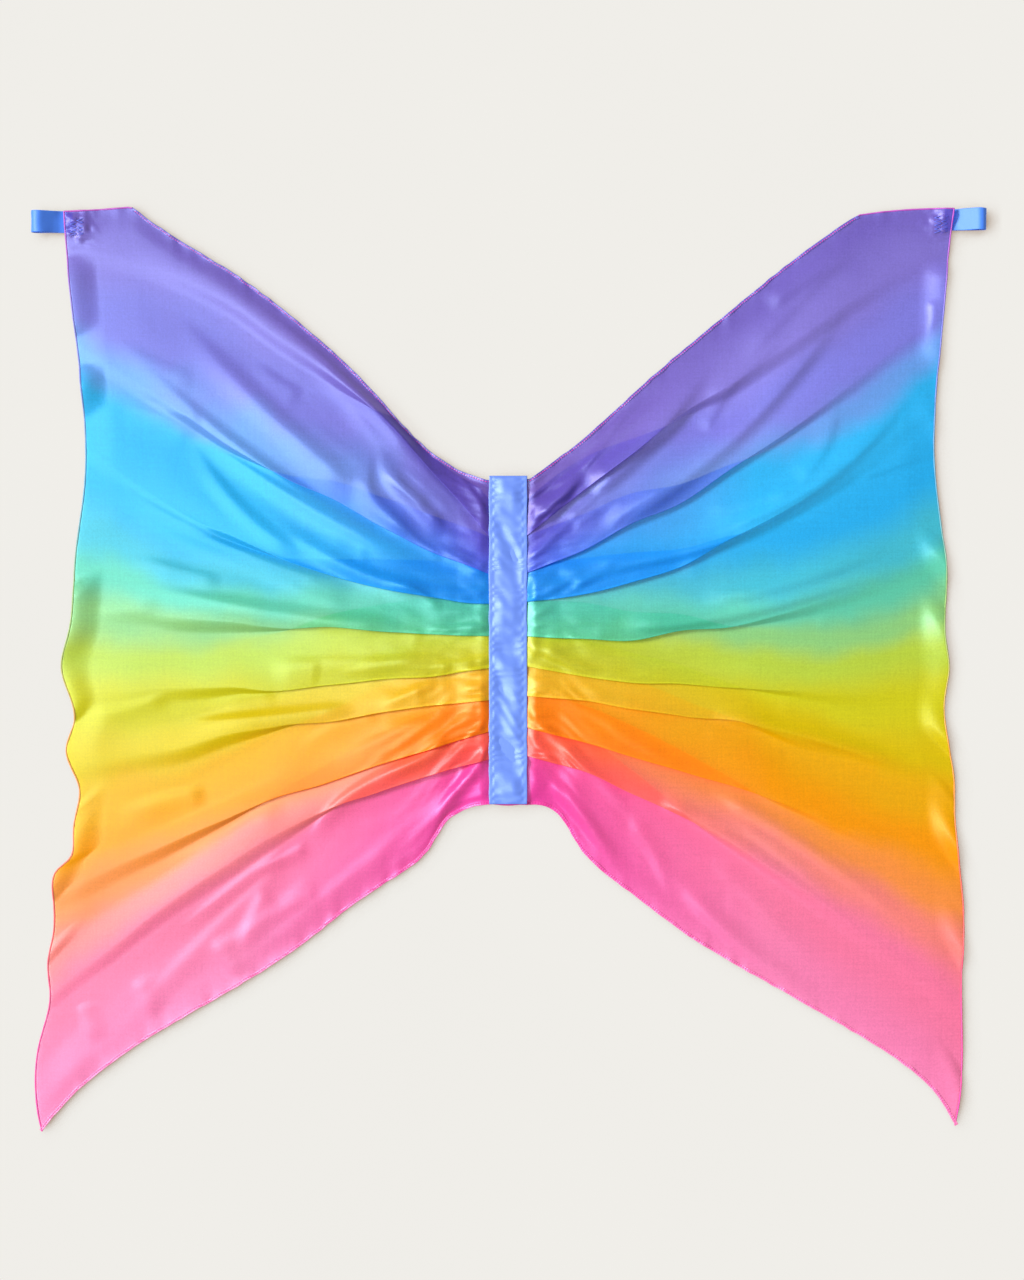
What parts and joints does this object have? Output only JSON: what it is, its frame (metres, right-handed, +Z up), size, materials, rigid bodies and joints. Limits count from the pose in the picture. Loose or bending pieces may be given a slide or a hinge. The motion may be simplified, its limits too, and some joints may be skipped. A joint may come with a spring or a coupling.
{
  "type": "dress-up wings",
  "caption": "Pair of child's silk dress-up wings pleated under a satin centre band, with ribbon finger loops at the upper corners and elastic shoulder loops behind the band.",
  "frame": {"origin": "middle of the spine band, on its back face", "axes": "+X across the wings to the right as seen from outside, +Z up along the band, -Y out of the face that is seen, +Y towards the wearer's back"},
  "size_m": [0.9555, 0.014, 0.9255],
  "materials": {
    "dyed_silk": "thin glossy silk, dyed in a soft rainbow from violet at the top to pink at the bottom",
    "violet_hem": "turned or rolled silk hem, violet, a little darker than the single layer",
    "pink_hem": "turned silk hem, hot pink",
    "hem_thread": "magenta lockstitch thread",
    "band_satin": "periwinkle satin ribbon, glossy, softly creased",
    "band_thread": "pale blue thread",
    "loop_satin": "bright blue satin ribbon, glossy",
    "elastic": "ribbed soft elastic, periwinkle to match the band"
  },
  "bodies": {
    "spine": {"spine_band_back": "band_satin", "spine_pleats": "dyed_silk", "spine_band_front": "band_satin", "spine_stitch_left": "band_thread", "spine_stitch_right": "band_thread", "left_shoulder_tack": "band_thread", "right_shoulder_tack": "band_thread"},
    "left_wing": {"left_wing_silk": "dyed_silk", "left_neck_hem": "violet_hem", "left_top_rolled_hem": "violet_hem", "left_side_rolled_hem": "dyed_silk", "left_tail_hem": "pink_hem", "left_neck_stitch": "hem_thread", "left_tail_stitch": "hem_thread", "left_corner_tack": "band_thread"},
    "right_wing": {"right_wing_silk": "dyed_silk", "right_neck_hem": "violet_hem", "right_top_rolled_hem": "violet_hem", "right_side_rolled_hem": "dyed_silk", "right_tail_hem": "pink_hem", "right_neck_stitch": "hem_thread", "right_tail_stitch": "hem_thread", "right_corner_tack": "band_thread"},
    "left_finger_loop": {"left_finger_loop": "loop_satin"},
    "right_finger_loop": {"right_finger_loop": "loop_satin"},
    "left_shoulder_loop": {"left_shoulder_loop": "elastic"},
    "right_shoulder_loop": {"right_shoulder_loop": "elastic"}
  },
  "joints": [
    {"name": "left_wing_fold", "type": "hinge", "parent": "spine", "child": "left_wing", "pos_m": [-0.0215, -0.0024, 0], "axis": [0, 0, 1], "range_deg": [-80, 80]},
    {"name": "right_wing_fold", "type": "hinge", "parent": "spine", "child": "right_wing", "pos_m": [0.0215, -0.0024, 0], "axis": [0, 0, -1], "range_deg": [-80, 80]},
    {"name": "left_finger_loop_flip", "type": "hinge", "parent": "left_wing", "child": "left_finger_loop", "pos_m": [-0.4467, 0.0042, 0.41825], "axis": [0, 0, 1], "range_deg": [-90, 90]},
    {"name": "right_finger_loop_flip", "type": "hinge", "parent": "right_wing", "child": "right_finger_loop", "pos_m": [0.4482, 0.0042, 0.42075], "axis": [0, 0, -1], "range_deg": [-90, 90]},
    {"name": "left_shoulder_loop_swing", "type": "hinge", "parent": "spine", "child": "left_shoulder_loop", "pos_m": [-0.0075, 0.0026, 0.15], "axis": [1, 0, 0], "range_deg": [0, 150]},
    {"name": "right_shoulder_loop_swing", "type": "hinge", "parent": "spine", "child": "right_shoulder_loop", "pos_m": [0.0075, 0.0026, 0.15], "axis": [1, 0, 0], "range_deg": [0, 150]}
  ]
}
